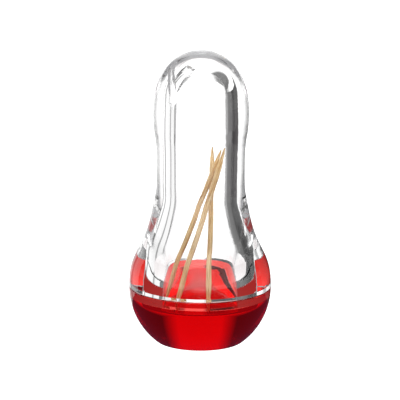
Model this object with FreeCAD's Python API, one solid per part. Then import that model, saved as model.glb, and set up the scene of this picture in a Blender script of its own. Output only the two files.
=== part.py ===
"""Toothpick dispenser: a red bowl with a clear, thick-walled bell plugged into it.

The bell is hollow: a round tube with a domed top, which widens to the bowl's cup at
the bottom. A slanted channel through the bell's shoulder lets one toothpick out when
the dispenser is tipped over. Origin at the middle of the foot, +Z up, -Y to the front.
All sizes are in millimetres.
"""
import FreeCAD, Part
import math
import os
from FreeCAD import Vector

# Overall sizes
overall_height = 114.0
overall_diameter = 55.0

# Red bowl
bowl_height = 22.0
foot_diameter = 32.4
foot_round = 4.0
cup_diameter = 29.4
cup_floor = 15.5
cup_floor_round = 0.8

# Plug fit between the bell and the bowl
land_width = 6.5
spigot_depth = 4.0
spigot_lead_in = 0.1
fit_clearance = 0.05
seat_clearance = 0.02
shadow_gap = 0.2
edge_round = 0.3

# Bell, outside: a waist and a domed head. The shape points say how far along its
# width and its height a stretch is, both from 0 to 1.
waist_diameter = 33.8
waist_place = 0.69
head_diameter = 36.7
head_dome_height = 24.0
flare_shape = [(0.14, 0.217), (0.50, 0.388), (0.82, 0.625), (0.91, 0.725)]

# Both domes are quarter ellipses made a little fuller: an ellipse has fullness 2
dome_fullness = 2.18
dome_steps = 6

# Bell, inside: the cup's upper half, a throat and a tube with a domed top
tube_diameter = 19.4
crown_wall = 8.0
tube_dome_height = 11.0
throat_bottom = 31.0
throat_top = 58.0
throat_shape = [(0.12, 0.18), (0.50, 0.42), (0.85, 0.70)]

# Dispensing channel through the shoulder, in the upright plane at channel_azimuth
channel_diameter = 2.8
channel_azimuth = 208.0
channel_tilt = 15.0
channel_inset = 0.7
channel_mouth_diameter = 4.2
channel_mouth_depth = 1.5
channel_dish_radius = 2.6
channel_dish_offset = 2.0

# Guide pad on the tube's dome, with a groove that leads a point to the channel
pad_width = 4.6
pad_thickness = 1.1
pad_start_radius = 3.2
groove_depth = 0.6

# Toothpicks: the azimuth of each end and its gap from the wall there, which is the
# cup's wall at the foot and the tube's wall at the top
toothpick_length = 65.0
toothpick_diameter = 2.0
toothpick_point_length = 9.0
toothpick_point_fullness = 0.62
toothpick_tip_diameter = 0.5
toothpick_floor_gap = 0.1
toothpick_places = [
    {"foot": (188.77, 0.60), "top": (357.81, 1.84)},
    {"foot": (223.47, 2.78), "top": (348.01, 0.55)},
    {"foot": (282.58, 2.30), "top": (55.95, 0.77)},
]

# Worked out from the sizes above
rim_radius = overall_diameter / 2
foot_radius = foot_diameter / 2
cup_radius = cup_diameter / 2
tube_radius = tube_diameter / 2
waist_radius = waist_diameter / 2
head_radius = head_diameter / 2
spigot_radius = rim_radius - land_width
spigot_bottom = bowl_height - spigot_depth
ledge_height = spigot_bottom - seat_clearance
land_height = bowl_height + shadow_gap
head_height = overall_height - head_dome_height
waist_height = bowl_height + waist_place * (head_height - bowl_height)
tube_top = overall_height - crown_wall
tube_shoulder = tube_top - tube_dome_height
channel_radius = channel_diameter / 2
UP = Vector(0, 0, 1)
AXIS_FOOT = Vector(0, 0, 0)


def at(radius, height):
    """A point of an outline, in the upright plane y = 0."""
    return Vector(radius, 0, height)


def lines(*points):
    """Straight edges from each point to the next."""
    return [Part.LineSegment(a, b).toShape() for a, b in zip(points, points[1:])]


def arc(start, middle, end):
    return Part.Arc(start, middle, end).toShape()


def between(start, end, shares):
    """Points on the way from start to end, at shares of the width and of the height."""
    return [at(start.x + across * (end.x - start.x), start.z + along * (end.z - start.z))
            for across, along in shares]


def dome_points(side, crown):
    """Points of a dome from its upright side to its level crown on the axis."""
    points = []
    for step in range(dome_steps + 1):
        angle = math.radians(90) * step / dome_steps
        across = 1 - max(math.cos(angle), 0) ** (2 / dome_fullness)
        along = math.sin(angle) ** (2 / dome_fullness)
        points.append((across, along))
    return [side] + between(side, crown, points[1:-1]) + [crown]


def spline(points, tangents):
    """A smooth curve through the points, with the given tangent at some of them."""
    curve = Part.BSplineCurve()
    curve.interpolate(Points=points,
                      Tangents=[tangents.get(i, Vector(0, 0, 0)) for i in range(len(points))],
                      TangentFlags=[i in tangents for i in range(len(points))])
    return curve.toShape()


def dome(side, crown):
    points = dome_points(side, crown)
    return spline(points, {0: UP, len(points) - 1: Vector(-1, 0, 0)})


def turned(edges):
    """The solid that a closed outline makes in a full turn about the upright axis."""
    return Part.Face(Part.Wire(edges)).revolve(AXIS_FOOT, UP, 360)


def ring_edges(solid, radius, height):
    """The circular edges of this radius about the upright axis at this height."""
    found = []
    for edge in solid.Edges:
        box = edge.BoundBox
        if abs(box.XMax - radius) < 0.01 and abs(box.ZMin - height) < 0.01 and box.ZLength < 0.01:
            found.append(edge)
    return found


def tube_dome_at(radius):
    """Height of the tube's dome at a distance from the axis."""
    share = 1 - (radius / tube_radius) ** dome_fullness
    return tube_shoulder + tube_dome_height * share ** (1 / dome_fullness)


def in_channel_plane(shape):
    """Turn a shape made in the plane y = 0 to the channel's own azimuth."""
    shape.rotate(AXIS_FOOT, UP, channel_azimuth)
    return shape


def red_bowl():
    """Ball-shaped bowl on a flat foot, with the cup and the socket for the bell."""
    rim = at(rim_radius, bowl_height)
    foot = at(foot_radius, 0)
    # the side is an arc that meets the rim upright and runs down to the foot's edge
    centre_x = (rim.x ** 2 - foot.x ** 2 - rim.z ** 2) / (2 * (rim.x - foot.x))
    side_radius = rim.x - centre_x
    half_way = math.atan2(bowl_height, foot.x - centre_x) / 2
    side_middle = at(centre_x + side_radius * math.cos(half_way),
                     bowl_height - side_radius * math.sin(half_way))
    socket_radius = spigot_radius + fit_clearance
    corner = cup_floor_round * math.sin(math.radians(45))
    cup_round_centre = at(cup_radius - cup_floor_round, cup_floor + cup_floor_round)
    cup_round_middle = at(cup_round_centre.x + corner, cup_round_centre.z - corner)
    cup_side = at(cup_radius, cup_round_centre.z)
    cup_bottom = at(cup_round_centre.x, cup_floor)
    outline = lines(at(0, 0), foot)
    outline += [arc(foot, side_middle, rim)]
    outline += lines(rim, at(socket_radius, bowl_height), at(socket_radius, ledge_height),
                     at(cup_radius, ledge_height), cup_side)
    outline += [arc(cup_side, cup_round_middle, cup_bottom)]
    outline += lines(cup_bottom, at(0, cup_floor), at(0, 0))
    bowl = turned(outline)
    bowl = bowl.makeFillet(foot_round, ring_edges(bowl, foot_radius, 0))
    return bowl.makeFillet(edge_round, ring_edges(bowl, rim_radius, bowl_height))


def bell_outside():
    """The bell as a solid block: spigot, land, flare, waist, head and dome."""
    rim = at(rim_radius, land_height)
    waist = at(waist_radius, waist_height)
    head = at(head_radius, head_height)
    crown = at(0, overall_height)
    side_points = [rim] + between(rim, waist, flare_shape) + [waist, head]
    upright = {side_points.index(point): UP for point in (rim, waist, head)}
    skin = [spline(side_points, upright), dome(head, crown)]
    spigot_foot = at(spigot_radius, spigot_bottom)
    outline = lines(at(0, spigot_bottom), spigot_foot, at(spigot_radius, land_height), rim)
    outline += skin
    outline += lines(crown, at(0, spigot_bottom))
    block = turned(outline)
    block = block.makeChamfer(spigot_lead_in, ring_edges(block, spigot_radius, spigot_bottom))
    return block.makeFillet(edge_round, ring_edges(block, rim_radius, land_height))


def bell_hollow():
    """The space inside the bell: cup, throat, tube and dome, open at the bottom."""
    throat_foot = at(cup_radius, throat_bottom)
    throat_head = at(tube_radius, throat_top)
    throat_points = [throat_foot] + between(throat_foot, throat_head, throat_shape) + [throat_head]
    throat = spline(throat_points, {0: UP, len(throat_points) - 1: UP})
    shoulder = at(tube_radius, tube_shoulder)
    crown = at(0, tube_top)
    outline = lines(at(0, spigot_bottom), at(cup_radius, spigot_bottom), throat_foot)
    outline += [throat]
    outline += lines(throat_head, shoulder)
    outline += [dome(shoulder, crown)]
    outline += lines(crown, at(0, spigot_bottom))
    return turned(outline)


def guide_pad():
    """The pad's block, cut by the dome later, and the groove that runs along it."""
    start = at(pad_start_radius, tube_dome_at(pad_start_radius) - pad_thickness)
    middle_radius = (pad_start_radius + tube_radius) / 2 + pad_thickness / 4
    middle = at(middle_radius, tube_dome_at(middle_radius) - pad_thickness)
    end = at(tube_radius, tube_shoulder)
    outline = [arc(start, middle, end)]
    outline += lines(end, at(head_radius, tube_shoulder), at(head_radius, overall_height),
                     at(pad_start_radius, overall_height), start)
    face = Part.Face(Part.Wire(outline))
    face.translate(Vector(0, -pad_width / 2, 0))
    block = face.extrude(Vector(0, pad_width, 0))
    sink = Vector(0, 0, groove_depth - channel_radius)
    path = arc(start + sink, middle + sink, end + sink)
    along = path.tangentAt(path.FirstParameter)
    section = Part.Wire(Part.makeCircle(channel_radius, start + sink, along))
    groove = Part.Wire(path).makePipeShell([section], True, False)
    return in_channel_plane(block), in_channel_plane(groove)


def dispensing_channel(block):
    """The slanted hole, its mouth in the tube's shoulder and the dish at its exit."""
    tilt = math.radians(channel_tilt)
    along = Vector(math.sin(tilt), 0, math.cos(tilt))
    entry = at(tube_radius - channel_inset, tube_shoulder)
    reach = overall_height - tube_shoulder
    inside = block.common(Part.LineSegment(entry, entry + along * reach).toShape())
    leaving = max((vertex.Point for vertex in inside.Vertexes), key=lambda point: point.z)
    hole = Part.makeCylinder(channel_radius, reach, entry - along * channel_diameter, along)
    mouth = Part.makeCone(channel_mouth_diameter / 2, channel_radius, channel_mouth_depth,
                          entry, along)
    dish = Part.makeSphere(channel_dish_radius, leaving + along * channel_dish_offset)
    return in_channel_plane(hole.fuse([mouth, dish]))


def clear_bell():
    """The bell with its hollow, the guide pad in the dome and the channel."""
    block = bell_outside()
    pad, groove = guide_pad()
    hollow = bell_hollow().cut(pad)
    return block.cut(hollow).cut(groove).cut(dispensing_channel(block))


def beside(wall_radius, place):
    """Where an azimuth and a gap from a round wall lead, seen from above."""
    azimuth, gap = place
    angle = math.radians(azimuth)
    return (wall_radius - gap) * math.cos(angle), (wall_radius - gap) * math.sin(angle)


def toothpick(foot, top):
    """A round stick with two slender points, leaning from its foot towards its top."""
    radius = toothpick_diameter / 2
    tip = toothpick_tip_diameter / 2
    half_point = toothpick_point_length / 2
    waist = tip + (radius - tip) * toothpick_point_fullness
    length = toothpick_length
    outline = lines(at(0, 0), at(tip, 0))
    outline += [arc(at(tip, 0), at(waist, half_point), at(radius, toothpick_point_length))]
    outline += lines(at(radius, toothpick_point_length), at(radius, length - toothpick_point_length))
    outline += [arc(at(radius, length - toothpick_point_length),
                    at(waist, length - half_point), at(tip, length))]
    outline += lines(at(tip, length), at(0, length), at(0, 0))
    stick = turned(outline)
    lean = Vector(top[0] - foot[0], top[1] - foot[1], 0)
    rise = math.sqrt(length ** 2 - lean.Length ** 2)
    direction = Vector(lean.x, lean.y, rise)
    lift = tip * lean.Length / length + toothpick_floor_gap
    start = Vector(foot[0], foot[1], cup_floor + lift)
    stick.Placement = FreeCAD.Placement(start, FreeCAD.Rotation(UP, direction))
    return stick


pieces = {"red_bowl": red_bowl(), "clear_bell": clear_bell()}
for number, place in enumerate(toothpick_places, start=1):
    pieces[f"toothpick_{number}"] = toothpick(beside(cup_radius, place["foot"]),
                                              beside(tube_radius, place["top"]))

os.makedirs("parts", exist_ok=True)
for name, shape in pieces.items():
    solid = shape.Solids[0]
    print(f"{name}: valid {solid.isValid()}, {len(shape.Solids)} solid, "
          f"{solid.Volume:.1f} mm3, top at {solid.BoundBox.ZMax:.2f} mm")
    solid.exportStep(f"parts/{name}.step")
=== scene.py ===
# %% [markdown]
# # A toothpick dispenser in clear and red acrylic
#
# The object is a small table dispenser: a red bowl that holds the feet of the
# toothpicks, and a thick clear bell plugged into it. Both are moulded acrylic, so
# nearly everything that the eye sees here is refraction: walls show as bright and
# dark stripes, and the bowl's colour climbs up into the clear wall.
#
# The bowl and the bell could be lathed again in Blender, but the CAD model already
# holds their exact curves in a mesh finer than a render can show. So both stay,
# and get a material. The toothpicks are made here, because wood needs a mesh whose
# own axis the grain can follow.

# %% Load the frame
import math

import bmesh
import bpy
from mathutils import Matrix, Vector


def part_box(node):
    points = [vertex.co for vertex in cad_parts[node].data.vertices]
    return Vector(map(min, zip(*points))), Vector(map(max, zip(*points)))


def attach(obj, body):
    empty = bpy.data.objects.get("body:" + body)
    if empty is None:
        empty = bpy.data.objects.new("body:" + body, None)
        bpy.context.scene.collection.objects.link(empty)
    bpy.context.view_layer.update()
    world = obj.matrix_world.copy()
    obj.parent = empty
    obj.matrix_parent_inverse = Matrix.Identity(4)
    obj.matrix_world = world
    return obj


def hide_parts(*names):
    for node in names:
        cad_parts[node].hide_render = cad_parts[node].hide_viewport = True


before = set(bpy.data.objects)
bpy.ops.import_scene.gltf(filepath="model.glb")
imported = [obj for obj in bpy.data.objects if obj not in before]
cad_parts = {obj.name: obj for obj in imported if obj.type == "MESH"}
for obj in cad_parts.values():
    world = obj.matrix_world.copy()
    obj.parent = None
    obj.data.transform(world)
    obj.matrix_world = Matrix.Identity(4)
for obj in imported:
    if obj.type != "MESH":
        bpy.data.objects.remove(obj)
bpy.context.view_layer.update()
MM = 0.001
print("CAD nodes:", ", ".join(sorted(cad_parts)))


# %% [markdown]
# ## Camera
#
# The dispenser stands a little below the eye. A long lens from 0.9 m keeps its two
# domes from spreading, as a product photographer would, and looks down by 12 degrees.
# The target is about half-way up the object, so the framing needs no lens shift. The
# camera leans a third of a degree to one side, as one on a real tripod easily does.

# %% Camera
VIEW_DOWN = math.radians(12)
CAMERA_DISTANCE = 0.9
VIEW_WIDTH = 0.154
SENSOR_WIDTH = 36
TARGET = Vector((-0.0002, 0, 0.0559))
ROLL = math.radians(0.35)

camera_data = bpy.data.cameras.new("camera")
camera_data.sensor_width = SENSOR_WIDTH
camera_data.lens = SENSOR_WIDTH * CAMERA_DISTANCE / VIEW_WIDTH
camera = bpy.data.objects.new("camera", camera_data)
bpy.context.scene.collection.objects.link(camera)
back_and_up = Vector((0, -math.cos(VIEW_DOWN), math.sin(VIEW_DOWN)))
camera.location = TARGET + CAMERA_DISTANCE * back_and_up
camera.rotation_euler = (TARGET - camera.location).to_track_quat("-Z", "Y").to_euler()
camera.rotation_euler.rotate_axis("Z", ROLL)
bpy.context.scene.camera = camera
print(f"camera: {camera_data.lens:.0f} mm lens, {CAMERA_DISTANCE} m away")


# %% [markdown]
# ## Colours and nodes
#
# Colours are written as the hex values that a colour picker shows, and one function
# turns them to the linear values that light is counted in. Another adds a node with
# its settings and links, which keeps each material short enough to read.

# %% Helpers for materials
def linear(hex_colour):
    """A colour picker's hex value as linear red, green, blue and alpha."""
    shares = [int(hex_colour[i:i + 2], 16) / 255 for i in (1, 3, 5)]
    return [s / 12.92 if s <= 0.04045 else ((s + 0.055) / 1.055) ** 2.4 for s in shares] + [1]


def add(tree, kind, settings=None, inputs=None, stops=()):
    """Add a node. An input is a value or another node's output. Stops are a ramp's colours."""
    node = tree.nodes.new("ShaderNode" + kind)
    for key, value in (settings or {}).items():
        setattr(node, key, value)
    for key, value in (inputs or {}).items():
        if isinstance(value, bpy.types.NodeSocket):
            tree.links.new(value, node.inputs[key])
        else:
            node.inputs[key].default_value = value
    if stops:
        elements = node.color_ramp.elements
        elements.remove(elements[1])
        elements[0].position, elements[0].color = stops[0]
        for position, colour in stops[1:]:
            elements.new(position).color = colour
    return node


def new_material(name):
    """An empty node material, its node tree and its output node."""
    material = bpy.data.materials.new(name)
    material.use_nodes = True
    tree = material.node_tree
    tree.nodes.clear()
    return material, tree, add(tree, "OutputMaterial")


WHITE = linear("#FFFFFF")
print("white is", WHITE[:3], "and mid grey is", [round(c, 3) for c in linear("#808080")[:3]])


# %% [markdown]
# ## Pressed faces
#
# Where the bell's spigot is pressed into the bowl, the two upright polished faces
# touch, and light crosses from one to the other as if they were one block. A
# mirror-like film of air would show there otherwise. The Ambient Occlusion node finds
# such places, as it tells where another surface lies close by. The faces are 0.05 mm
# apart in the model, so it looks three times as far. It is asked twice, for light that
# comes from outside the wall and from inside it, and the face lets light straight
# through there.
#
# Level faces only rest on each other and keep their film of air, which is what makes
# the bright band round the middle. All of it follows the bell when that is lifted.

# %% Pressed faces
TOUCHING = 0.15 * MM
OCCLUSION_SAMPLES = 4
HALF = 0.5


def free_face(tree):
    """1 where a face is free or level, and 0 where an upright one is pressed on another."""
    outward = add(tree, "AmbientOcclusion", {"samples": OCCLUSION_SAMPLES},
                  {"Distance": TOUCHING})
    inward = add(tree, "AmbientOcclusion", {"samples": OCCLUSION_SAMPLES, "inside": True},
                 {"Distance": TOUCHING})
    free = add(tree, "Math", {"operation": "MINIMUM"},
               {0: outward.outputs["AO"], 1: inward.outputs["AO"]})
    facing = add(tree, "NewGeometry")
    tilt = add(tree, "SeparateXYZ", inputs={0: facing.outputs["True Normal"]})
    level = add(tree, "Math", {"operation": "ABSOLUTE"}, {0: tilt.outputs["Z"]})
    unpressed = add(tree, "Math", {"operation": "MAXIMUM"},
                    {0: free.outputs[0], 1: level.outputs[0]})
    apart = add(tree, "Math", {"operation": "GREATER_THAN"}, {0: unpressed.outputs[0], 1: HALF})
    return apart.outputs[0]


print(f"faces count as pressed together within {TOUCHING / MM:.2f} mm")


# %% [markdown]
# ## Painted glow for piped light
#
# Light that is mirrored down the long clear wall before it reaches the red is spread
# so wide by the ripple of the mould that it arrives as a soft grey, not as a sharp red
# image. Perfect faces can't show that, so for such light the red bowl gets a painted grey
# glow, an Emission mixed into its surface. The Light Path node tells that light from the
# rest: it was mirrored twice or more, or it was mirrored once and then went a long way
# before it met the bowl.

# %% Painted glow for piped light
LONG_WAY = 13.5 * MM
MORE_THAN_ONCE = 1.5


def piped_light_glow_mask(tree):
    """Where the red bowl glows its painted grey: 1 for light that was mirrored twice or more, or
    once and far away, and else 0.
    """
    path = add(tree, "LightPath")
    mirrored = path.outputs["Glossy Depth"]
    way = add(tree, "Math", {"operation": "MULTIPLY"}, {0: mirrored, 1: path.outputs["Ray Length"]})
    far = add(tree, "Math", {"operation": "GREATER_THAN"}, {0: way.outputs[0], 1: LONG_WAY})
    often = add(tree, "Math", {"operation": "GREATER_THAN"}, {0: mirrored, 1: MORE_THAN_ONCE})
    either = add(tree, "Math", {"operation": "MAXIMUM"}, {0: far.outputs[0], 1: often.outputs[0]})
    return either.outputs[0]


print(f"after one mirroring, a long way is {LONG_WAY / MM:.1f} mm")


# %% [markdown]
# ## Moulded acrylic
#
# Both parts are acrylic (PMMA), polished as it leaves the mould: IOR 1.49, no colour
# on the surface, and roughness next to nothing. The polish follows the mould's faint
# ripple, with swells about 11 mm apart and some thousandths of a millimetre high. It
# lets the edges of the mirrored stripes waver a little.
#
# The red isn't painted on. It comes from dye in the whole depth, so it is made with
# volume absorption: thin edges look coral and thick walls look deep red. Only a grey
# glow is painted on the red bowl's surface, for light piped down the clear wall.

# %% Acrylic
ACRYLIC_IOR = 1.49
RIPPLE = 11 * MM
RIPPLE_HEIGHT = 0.004 * MM
RED_DYE = linear("#FB4A10")
DYE_DENSITY = 400.0
# The painted grey glow of the red bowl, for light piped down the clear wall.
PAINTED_GLOW_GREY = linear("#AEAEB0")


def acrylic(name, dye=None):
    """Polished moulded acrylic, clear or with dye through its whole depth. The dyed one also glows
    a painted grey for piped light.
    """
    material, tree, output = new_material(name)
    where = add(tree, "TexCoord")
    ripple = add(tree, "TexNoise", inputs={"Vector": where.outputs["Object"],
                                           "Scale": 1 / RIPPLE, "Detail": 1.0})
    skin = add(tree, "Bump", inputs={"Height": ripple.outputs[0], "Strength": 1.0,
                                     "Distance": RIPPLE_HEIGHT})
    polished = add(tree, "BsdfPrincipled",
                   inputs={"Base Color": WHITE, "Roughness": 0.0, "IOR": ACRYLIC_IOR,
                           "Transmission Weight": 1.0, "Normal": skin.outputs[0]})
    joined = add(tree, "BsdfTransparent")
    face = add(tree, "MixShader", inputs={0: free_face(tree), 1: joined.outputs[0],
                                          2: polished.outputs[0]})
    if dye:
        # The red bowl's surface glows a painted grey for piped light.
        painted_glow = add(tree, "Emission", inputs={"Color": PAINTED_GLOW_GREY})
        face = add(tree, "MixShader", inputs={0: piped_light_glow_mask(tree), 1: face.outputs[0],
                                              2: painted_glow.outputs[0]})
        depth = add(tree, "VolumeAbsorption", inputs={"Color": dye, "Density": DYE_DENSITY})
        tree.links.new(depth.outputs[0], output.inputs["Volume"])
    tree.links.new(face.outputs[0], output.inputs["Surface"])
    return material


clear_acrylic = acrylic("moulded clear acrylic")
red_acrylic = acrylic("moulded red acrylic", RED_DYE)
for node_name, material in (("clear_bell", clear_acrylic), ("red_bowl", red_acrylic)):
    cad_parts[node_name].material_slots[0].material = material
print("acrylic parts:", clear_acrylic.name, "and", red_acrylic.name)


# %% [markdown]
# ## The girth of a toothpick
#
# A toothpick is a birch rod, 65 mm long and 2 mm thick, whose two ends are ground to
# slender points. A point could be a plain cone, but the grinding leaves it a little
# fuller than that, so a low arch is added to the cone's straight side.

# %% Girth
PICK_LENGTH = 65.0
PICK_RADIUS = 1.0
POINT_LENGTH = 9.0
TIP_RADIUS = 0.25
POINT_MIDDLE = 0.715


def girth(height):
    """Radius of a toothpick at a height, in mm: two bulged points and a straight rod."""
    from_end = min(height, PICK_LENGTH - height)
    if from_end >= POINT_LENGTH:
        return PICK_RADIUS
    share = from_end / POINT_LENGTH
    arch = 4 * share * (1 - share)
    bulge = arch * (POINT_MIDDLE - (TIP_RADIUS + PICK_RADIUS) / 2)
    return TIP_RADIUS + share * (PICK_RADIUS - TIP_RADIUS) + bulge


print("toothpick:", PICK_LENGTH, "mm long,", 2 * PICK_RADIUS, "mm thick")


# %% [markdown]
# ## Where a stick leans
#
# The CAD model holds each stick as a mesh that already leans. Its direction can be
# read back from there: the middle of the lowest points and the middle of the highest
# points are the two ends of its axis.

# %% Lean
END_BAND = 0.4 * MM


def lean_of(node_name):
    """The direction of a CAD stick, from the two ends of its mesh."""
    points = [v.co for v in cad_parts[node_name].data.vertices]
    ends = []
    for level in (min(p.z for p in points), max(p.z for p in points)):
        near_end = [p for p in points if abs(p.z - level) < END_BAND]
        ends.append(sum(near_end, Vector()) / len(near_end))
    return (ends[1] - ends[0]).normalized()


print("the first stick leans along", [round(c, 3) for c in lean_of("toothpick_1")])


# %% [markdown]
# ## Toothpicks
#
# A round point would look turned on a lathe. The real one has long flat strokes from
# the grinding wheel, so each point gets ten shallow flats, and the whole rod is a
# little out of round. Both stay inside the plain round stick of the CAD model. The
# mesh is made upright, about its own axis, and is then leaned over to where the CAD
# stick stands.

# %% Toothpicks
SIDES = 40
RINGS = 130
MEAN_SHARE = 0.985
OVAL_SHARE = 0.012
FLAT_SHARE = 0.035
FLAT_PAIRS = 5
STICK_TURN = 2.1


def ground_stick(number):
    """The mesh of an upright stick. Each number turns the flats and the oval differently."""
    build = bmesh.new()
    rings = []
    for height in [PICK_LENGTH * i / RINGS for i in range(RINGS + 1)]:
        point_share = max(0.0, 1 - min(height, PICK_LENGTH - height) / POINT_LENGTH)
        ring = []
        for side in range(SIDES):
            turn = 2 * math.pi * side / SIDES
            flat = FLAT_SHARE * point_share * math.cos(FLAT_PAIRS * turn + STICK_TURN * number)
            oval = OVAL_SHARE * math.cos(2 * turn + number)
            radius = girth(height) * (MEAN_SHARE + oval - abs(flat)) * MM
            ring.append(build.verts.new((radius * math.cos(turn), radius * math.sin(turn),
                                         height * MM)))
        rings.append(ring)
    for lower, upper in zip(rings, rings[1:]):
        for side in range(SIDES):
            after = (side + 1) % SIDES
            build.faces.new((lower[side], lower[after], upper[after], upper[side]))
    build.faces.new(rings[0][::-1])
    build.faces.new(rings[-1])
    mesh = bpy.data.meshes.new(f"birch_toothpick_{number}")
    build.to_mesh(mesh)
    build.free()
    mesh.polygons.foreach_set("use_smooth", [len(p.vertices) == 4 for p in mesh.polygons])
    return mesh


def toothpick(number):
    """A ground birch stick in the place of one CAD stick."""
    stick = bpy.data.objects.new(f"birch_toothpick_{number}", ground_stick(number))
    bpy.context.scene.collection.objects.link(stick)
    node_name = f"toothpick_{number}"
    along = lean_of(node_name)
    low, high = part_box(node_name)
    middle = (low + high) / 2
    turned = along.to_track_quat("Z", "Y").to_matrix().to_4x4()
    stick.matrix_world = Matrix.Translation(middle - along * PICK_LENGTH * MM / 2) @ turned
    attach(stick, node_name)
    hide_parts(node_name)
    return stick


sticks = [toothpick(number) for number in (1, 2, 3)]
print("made", len(sticks), "toothpicks of", len(sticks[0].data.polygons), "faces each")


# %% [markdown]
# ## Birch
#
# Birch is pale, fine-grained and nearly without pores. A stick shows straight fibres
# along its length, and lengths that are a little darker or paler than the rest. The
# fibres are about 0.1 mm apart, finer than a render shows, so they are drawn 0.3 mm
# apart and stretched thirty times along the stick. Sanding leaves them in faint relief.

# %% Birch
FIBRE = 0.3 * MM
STRETCH = 30
RELIEF = 0.03 * MM
PATCH = 17 * MM
PATCH_TONES = {"From Min": 0.35, "From Max": 0.65, "To Min": 0.82, "To Max": 1.14}
BIRCH_TONES = [(0.30, linear("#A87440")), (0.46, linear("#D6AE74")), (0.62, linear("#F0D6A6"))]


def birch():
    """Sanded birch whose fibres run along the object's own Z axis."""
    material, tree, output = new_material("sanded birch")
    where = add(tree, "TexCoord")
    stretched = add(tree, "Mapping",
                    inputs={"Vector": where.outputs["Object"],
                            "Scale": (1 / FIBRE, 1 / FIBRE, 1 / (STRETCH * FIBRE))})
    fibre = add(tree, "TexNoise", inputs={"Vector": stretched.outputs[0], "Scale": 1.0,
                                          "Detail": 4.0, "Roughness": 0.6})
    broad = add(tree, "TexNoise", inputs={"Vector": where.outputs["Object"],
                                          "Scale": 1 / PATCH})
    tone = add(tree, "ValToRGB", inputs={"Fac": fibre.outputs[0]}, stops=BIRCH_TONES)
    patch = add(tree, "MapRange", inputs={"Value": broad.outputs[0], **PATCH_TONES})
    colour = add(tree, "VectorMath", {"operation": "SCALE"},
                 {0: tone.outputs[0], "Scale": patch.outputs[0]})
    relief = add(tree, "Bump", inputs={"Height": fibre.outputs[0], "Strength": 0.5,
                                       "Distance": RELIEF})
    wood = add(tree, "BsdfPrincipled",
               inputs={"Base Color": colour.outputs[0], "Roughness": 0.55, "IOR": 1.5,
                       "Specular IOR Level": 0.35, "Normal": relief.outputs[0]})
    tree.links.new(wood.outputs[0], output.inputs["Surface"])
    return material


sanded_birch = birch()
for stick in sticks:
    stick.data.materials.append(sanded_birch)
print("wood:", sanded_birch.name)


# %% [markdown]
# ## Studio
#
# Clear acrylic is photographed against white. It has no colour of its own, and shows
# where its walls bend the view away from the white into the dark of the room. So the
# table and two sheets, behind the object and in front of it, glow, and the room to the
# sides is dark, like a product photographer's light tent with black flags. The table
# and a small screen are flat cards.

# %% Stage cards
WHITE_LEVEL = 1.5


def card(name, width, height, place, turn, material):
    """A flat card of the stage, turned by degrees about X, Y and Z."""
    mesh = bpy.data.meshes.new(name)
    x, y = width / 2, height / 2
    mesh.from_pydata([(-x, -y, 0), (x, -y, 0), (x, y, 0), (-x, y, 0)], [], [(0, 1, 2, 3)])
    mesh.materials.append(material)
    thing = bpy.data.objects.new(name, mesh)
    bpy.context.scene.collection.objects.link(thing)
    thing.location = place
    thing.rotation_euler = [math.radians(a) for a in turn]
    print(f"stage card {name}: {width:.2f} m by {height:.3f} m")


# %% [markdown]
# ## Table
#
# The table is white to the eye. Seen through the wall it has a painted red pool of
# light near the bowl, from the light that comes out of the red, then a painted grey
# shadow, then white. Further out it stays bright only towards the two sheets, with
# painted shade from the black flags on its sides. In a mirror it is painted dark, with
# the bowl's red painted into it as light.

# %% Table
TABLE_SIZE = 3.4
TABLE_TOP = -0.0002
# Reach in millimetres of the painted red light and grey shadow round the foot.
PAINTED_REACH = 200
# Millimetres from the middle of the foot, and the table's colour there: painted red light near the
# bowl, then painted grey shadow, then white.
PAINTED_LIGHT_AND_SHADOW = [(0, "#CB6150"), (26, "#C45450"), (44, "#BCB5B5"), (120, "#FFFFFF")]
# By how much the way out points at a sheet: the sine of its angle from sideways.
SHADED_SIDES = {"From Min": 0.42, "From Max": 0.72, "To Min": 0.30, "To Max": 1.0}
# By the distance in metres: the flags don't shade the middle of the table.
OPEN_MIDDLE = {"From Min": 0.08, "From Max": 0.16, "To Min": 1.0, "To Max": 0.0}
# The table's colour in a mirror: painted shade, with the bowl's red painted in as light.
PAINTED_DARK_IN_MIRROR = linear("#4B273C")


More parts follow.
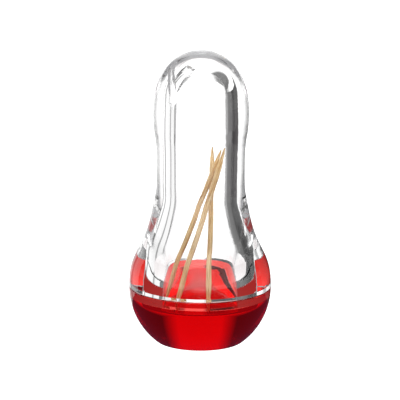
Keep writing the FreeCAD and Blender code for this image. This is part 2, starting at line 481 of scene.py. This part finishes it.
def table_top():
    """White to the eye, painted dark in a mirror, and painted with red light and grey shadow near
    the bowl when seen through it.
    """
    material, tree, output = new_material("pale table top")
    where = add(tree, "TexCoord")
    distance = add(tree, "VectorMath", {"operation": "LENGTH"}, {0: where.outputs["Object"]})
    share = add(tree, "MapRange", inputs={"Value": distance.outputs["Value"],
                                          "From Max": PAINTED_REACH * MM})
    # Painted red light and grey shadow round the foot, seen only through the wall.
    painted_light_and_shade = add(tree, "ValToRGB", inputs={"Fac": share.outputs[0]},
               stops=[(away / PAINTED_REACH, linear(painted_tone)) for away, painted_tone in PAINTED_LIGHT_AND_SHADOW])
    outward = add(tree, "VectorMath", {"operation": "NORMALIZE"}, {0: where.outputs["Object"]})
    toward = add(tree, "SeparateXYZ", inputs={0: outward.outputs[0]})
    lengthways = add(tree, "Math", {"operation": "ABSOLUTE"}, {0: toward.outputs["Y"]})
    sides = add(tree, "MapRange", inputs={"Value": lengthways.outputs[0], **SHADED_SIDES})
    near = add(tree, "MapRange", inputs={"Value": distance.outputs["Value"], **OPEN_MIDDLE})
    lit = add(tree, "Math", {"operation": "MAXIMUM"}, {0: sides.outputs[0], 1: near.outputs[0]})
    shaded = add(tree, "VectorMath", {"operation": "SCALE"},
                 {0: painted_light_and_shade.outputs[0], "Scale": lit.outputs[0]})
    path = add(tree, "LightPath")
    seen = add(tree, "Mix", {"data_type": "RGBA"},
               {0: path.outputs["Is Camera Ray"], 6: shaded.outputs[0], 7: WHITE})
    mirrored = add(tree, "Mix", {"data_type": "RGBA"},
                   {0: path.outputs["Is Reflection Ray"], 6: seen.outputs[2], 7: PAINTED_DARK_IN_MIRROR})
    white = add(tree, "Emission", inputs={"Color": mirrored.outputs[2], "Strength": WHITE_LEVEL})
    tree.links.new(white.outputs[0], output.inputs["Surface"])
    return material


card("floor", TABLE_SIZE, TABLE_SIZE, (0, 0, TABLE_TOP), (0, 0, 0), table_top())


# %% [markdown]
# ## Screen
#
# A thick clear wall doesn't only bend the view. It also mirrors what stands beside and
# behind it, as long thin stripes. A screen with upright bands, close behind the object,
# gives it something to mirror: its dark part draws the tube's grey stripe on the right,
# and its narrow bands draw the thin lines on the left. Only light that was mirrored
# inside a wall sees it. To the eye it isn't there.

# %% Screen
SCREEN_WIDTH = 240
SCREEN_HEIGHT = 93
SCREEN_BEHIND = 40
# Millimetres across from the middle, and the brightness there.
BANDS = [(-120, 1.0), (-64, 1.0), (-60, 0.40), (-54, 0.40), (-50, 1.0), (-20, 1.2), (-17, 0.45),
         (-13, 0.45), (-10, 1.3), (2, 1.3), (6, 0.11), (22, 0.09), (37, 0.05), (50, 0.08),
         (56, 0.17), (120, 0.25)]


def screen(name, bands):
    """Grey bands by millimetre across, which only light mirrored inside a wall sees."""
    material, tree, output = new_material(name)
    where = add(tree, "TexCoord")
    place = add(tree, "SeparateXYZ", inputs={0: where.outputs["Object"]})
    share = add(tree, "MapRange", inputs={"Value": place.outputs["X"],
                                          "From Min": -SCREEN_WIDTH / 2 * MM,
                                          "From Max": SCREEN_WIDTH / 2 * MM})
    level = add(tree, "ValToRGB", inputs={"Fac": share.outputs[0]},
                stops=[((across + SCREEN_WIDTH / 2) / SCREEN_WIDTH, (bright, bright, bright, 1))
                       for across, bright in bands])
    path = add(tree, "LightPath")
    inside = add(tree, "Math", {"operation": "GREATER_THAN"},
                 {0: path.outputs["Glossy Depth"], 1: HALF})
    grey = add(tree, "Emission", inputs={"Color": level.outputs[0], "Strength": 1.0})
    clear = add(tree, "BsdfTransparent")
    both = add(tree, "MixShader", inputs={0: inside.outputs[0], 1: clear.outputs[0],
                                          2: grey.outputs[0]})
    tree.links.new(both.outputs[0], output.inputs["Surface"])
    return material


card("inner_light_screen", SCREEN_WIDTH * MM, SCREEN_HEIGHT * MM,
     (0, SCREEN_BEHIND * MM, SCREEN_HEIGHT / 2 * MM), (90, 0, 0),
     screen("inner light screen", BANDS))


# %% [markdown]
# ## Room
#
# The room is the world's background, painted by direction. Each number below is the
# share of a direction that points sideways, along or up, so 0.40 means 24 degrees:
#
# - Each **sheet** is bright for 13 degrees to both sides of its middle, and has faded
#   out by 24.
# - Where the card ends, the **table** goes on to the horizon, bright lengthways.
# - A pale **ceiling** lights the top of the dome.
# - The rest is **dusk**, and nearly black in a mirror.
#
# Lamps can't shine through refracting walls by themselves, so the room is brighter for
# light that has left the wood.

# %% Room
SHEET_EDGE = {"From Min": 0.22, "From Max": 0.40, "To Min": 1.0, "To Max": 0.0}
HORIZON = {"From Min": 0.06, "From Max": 0.12, "To Min": WHITE_LEVEL, "To Max": 0.0}
TABLE_ENDS = {"From Min": 0.42, "From Max": 0.72, "To Min": 0.2, "To Max": 1.0}
CEILING = {"From Min": 0.75, "From Max": 0.85, "To Min": 0.0, "To Max": 0.9}
DUSK = {"To Min": 0.2, "To Max": 0.03}
WOOD_LIGHT = 1.6

world = bpy.data.worlds.new("room")
bpy.context.scene.world = world
world.use_nodes = True
room = world.node_tree
room.nodes.clear()
path = add(room, "LightPath")
where = add(room, "TexCoord")
toward = add(room, "SeparateXYZ", inputs={0: where.outputs["Generated"]})
sideways = add(room, "Math", {"operation": "ABSOLUTE"}, {0: toward.outputs["X"]})
lengthways = add(room, "Math", {"operation": "ABSOLUTE"}, {0: toward.outputs["Y"]})
dusk = add(room, "MapRange", inputs={"Value": path.outputs["Is Reflection Ray"], **DUSK})
edge = add(room, "MapRange", inputs={"Value": sideways.outputs[0], **SHEET_EDGE})
sheets = add(room, "MapRange", inputs={"Value": edge.outputs[0], "To Min": dusk.outputs[0],
                                       "To Max": WHITE_LEVEL})
horizon = add(room, "MapRange", inputs={"Value": toward.outputs["Z"], **HORIZON})
ends = add(room, "MapRange", inputs={"Value": lengthways.outputs[0], **TABLE_ENDS})
table = add(room, "Math", {"operation": "MULTIPLY"}, {0: horizon.outputs[0], 1: ends.outputs[0]})
ceiling = add(room, "MapRange", inputs={"Value": toward.outputs["Z"], **CEILING})
above = add(room, "Math", {"operation": "MAXIMUM"}, {0: sheets.outputs[0], 1: ceiling.outputs[0]})
bright = add(room, "Math", {"operation": "MAXIMUM"}, {0: above.outputs[0], 1: table.outputs[0]})
left_wood = add(room, "Math", {"operation": "GREATER_THAN"},
                {0: path.outputs["Diffuse Depth"], 1: HALF})
level = add(room, "Mix", {"data_type": "FLOAT"},
            {0: left_wood.outputs[0], 2: bright.outputs[0], 3: WOOD_LIGHT})
air = add(room, "Background", inputs={"Color": WHITE, "Strength": level.outputs[0]})
add(room, "OutputWorld", inputs={"Surface": air.outputs[0]})
print("room:", len(room.nodes), "nodes; sheets at", WHITE_LEVEL, "times white")


# %% [markdown]
# ## Light paths
#
# A view through the place where bell and bowl are nested crosses eight faces, and
# light that is mirrored along a wall meets many more. Each meeting counts as a bounce,
# so the limits are well above Blender's own. The standard view transform keeps white
# at white.

# %% Light paths
BOUNCES = 24
MIRRORINGS = 12

scene = bpy.context.scene
scene.view_settings.view_transform = "Standard"
scene.cycles.use_denoising = True
scene.cycles.max_bounces = BOUNCES
scene.cycles.transmission_bounces = BOUNCES
scene.cycles.transparent_max_bounces = BOUNCES
scene.cycles.glossy_bounces = MIRRORINGS
scene.cycles.caustics_refractive = True
print("light may bounce", BOUNCES, "times")
